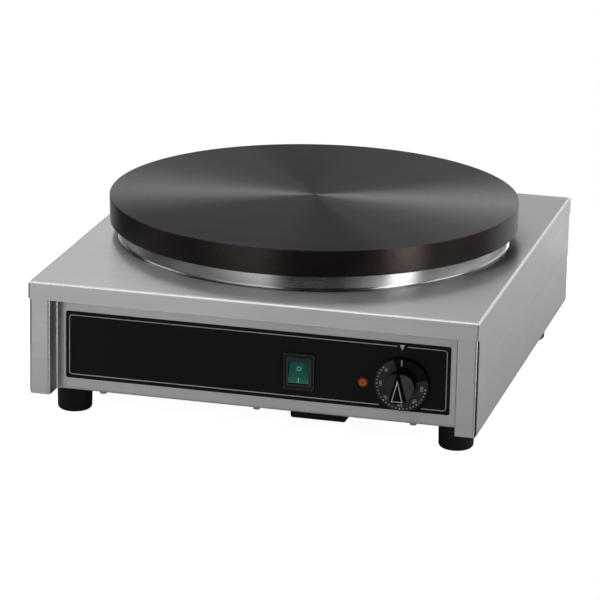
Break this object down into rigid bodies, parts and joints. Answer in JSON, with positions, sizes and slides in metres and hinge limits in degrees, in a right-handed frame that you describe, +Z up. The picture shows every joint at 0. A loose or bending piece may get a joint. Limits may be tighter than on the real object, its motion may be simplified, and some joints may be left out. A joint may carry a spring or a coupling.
{
  "type": "electric crepe maker",
  "caption": "Free-standing electric crepe maker: round cast plate on a steel collar over a folded steel casing with recessed controls and feet.",
  "frame": {"origin": "middle of the footprint, on the surface that the feet stand on", "axes": "+Z up, -Y towards the user and the controls, +X to the right seen from the front"},
  "size_m": [0.43, 0.46, 0.18],
  "materials": {
    "top_cover": "brushed stainless sheet",
    "front_panel": "brushed stainless sheet",
    "rear_panel": "brushed stainless sheet",
    "base_plate": "galvanised sheet",
    "control_label": "satin black film with a thin light line",
    "casing_screws": "bright zinc plating",
    "foot_front_left": "moulded black rubber",
    "foot_front_right": "moulded black rubber",
    "foot_rear_left": "moulded black rubber",
    "foot_rear_right": "moulded black rubber",
    "foot_screws": "bright zinc plating",
    "foot_nuts": "bright zinc plating",
    "griddle_plate": "turned and seasoned cast iron",
    "collar_ring": "satin spun stainless",
    "collar_screws": "bright zinc plating",
    "inner_element": "oxidised sheath",
    "outer_element": "oxidised sheath",
    "element_clamp": "aluminised steel",
    "griddle_studs": "bright zinc plating",
    "clamp_nuts": "bright zinc plating",
    "pan_nuts": "bright zinc plating",
    "insulation_blanket": "needled ceramic fibre",
    "insulation_pan": "aluminised steel",
    "switch_housing": "black nylon",
    "switch_rocker": "clear green plastic",
    "switch_terminals": "tinned brass",
    "pilot_lamp_lens": "clear orange plastic",
    "pilot_lamp_body": "white nylon",
    "pilot_lamp_nut": "satin black moulding",
    "thermostat_body": "steatite and steel",
    "thermostat_shaft": "turned steel",
    "thermostat_terminals": "tinned brass",
    "thermostat_screws": "bright zinc plating",
    "thermostat_bulb": "drawn copper",
    "thermostat_capillary": "drawn copper",
    "knob": "black phenolic moulding with a light scale",
    "limit_thermostat": "steatite and steel",
    "limit_terminals": "tinned brass",
    "limit_bulb": "drawn copper",
    "limit_capillary": "drawn copper",
    "reset_button": "red nylon",
    "reset_guard": "satin black moulding",
    "guard_screws": "bright zinc plating",
    "terminal_block": "glazed steatite",
    "terminal_screws": "brass",
    "earth_stud": "brass",
    "gland_body": "satin black moulding",
    "gland_nut": "satin black moulding",
    "gland_seal": "nitrile rubber",
    "gland_locknut": "bright zinc plating",
    "live_wires": "silicone insulation",
    "neutral_wires": "silicone insulation",
    "earth_wire": "silicone insulation"
  },
  "bodies": {
    "casing": {"top_cover": "top_cover", "front_panel": "front_panel", "rear_panel": "rear_panel", "base_plate": "base_plate", "control_label": "control_label", "casing_screws": "casing_screws", "foot_front_left": "foot_front_left", "foot_front_right": "foot_front_right", "foot_rear_left": "foot_rear_left", "foot_rear_right": "foot_rear_right", "foot_screws": "foot_screws", "foot_nuts": "foot_nuts", "griddle_plate": "griddle_plate", "collar_ring": "collar_ring", "collar_screws": "collar_screws", "inner_element": "inner_element", "outer_element": "outer_element", "element_clamp": "element_clamp", "griddle_studs": "griddle_studs", "clamp_nuts": "clamp_nuts", "pan_nuts": "pan_nuts", "insulation_blanket": "insulation_blanket", "insulation_pan": "insulation_pan", "switch_housing": "switch_housing", "switch_terminals": "switch_terminals", "pilot_lamp_lens": "pilot_lamp_lens", "pilot_lamp_body": "pilot_lamp_body", "pilot_lamp_nut": "pilot_lamp_nut", "thermostat_body": "thermostat_body", "thermostat_terminals": "thermostat_terminals", "thermostat_screws": "thermostat_screws", "thermostat_bulb": "thermostat_bulb", "thermostat_capillary": "thermostat_capillary", "limit_thermostat": "limit_thermostat", "limit_terminals": "limit_terminals", "limit_bulb": "limit_bulb", "limit_capillary": "limit_capillary", "reset_guard": "reset_guard", "guard_screws": "guard_screws", "terminal_block": "terminal_block", "terminal_screws": "terminal_screws", "earth_stud": "earth_stud", "gland_body": "gland_body", "gland_nut": "gland_nut", "gland_seal": "gland_seal", "gland_locknut": "gland_locknut", "live_wires": "live_wires", "neutral_wires": "neutral_wires", "earth_wire": "earth_wire"},
    "dial": {"knob": "knob", "thermostat_shaft": "thermostat_shaft"},
    "rocker": {"switch_rocker": "switch_rocker"},
    "reset": {"reset_button": "reset_button"}
  },
  "joints": [
    {"name": "dial_turn", "type": "hinge", "parent": "casing", "child": "dial", "pos_m": [0.14, -0.2075, 0.0664], "axis": [0, 1, 0], "range_deg": [0, 264]},
    {"name": "rocker_tip", "type": "hinge", "parent": "casing", "child": "rocker", "pos_m": [0.042, -0.20682, 0.0683], "axis": [1, 0, 0], "range_deg": [0, 16]},
    {"name": "reset_press", "type": "slide", "parent": "casing", "child": "reset", "axis": [0, 0, 1], "range_m": [0, 0.0025], "stiffness_N_per_m": 300, "springref_m": -0.002}
  ]
}
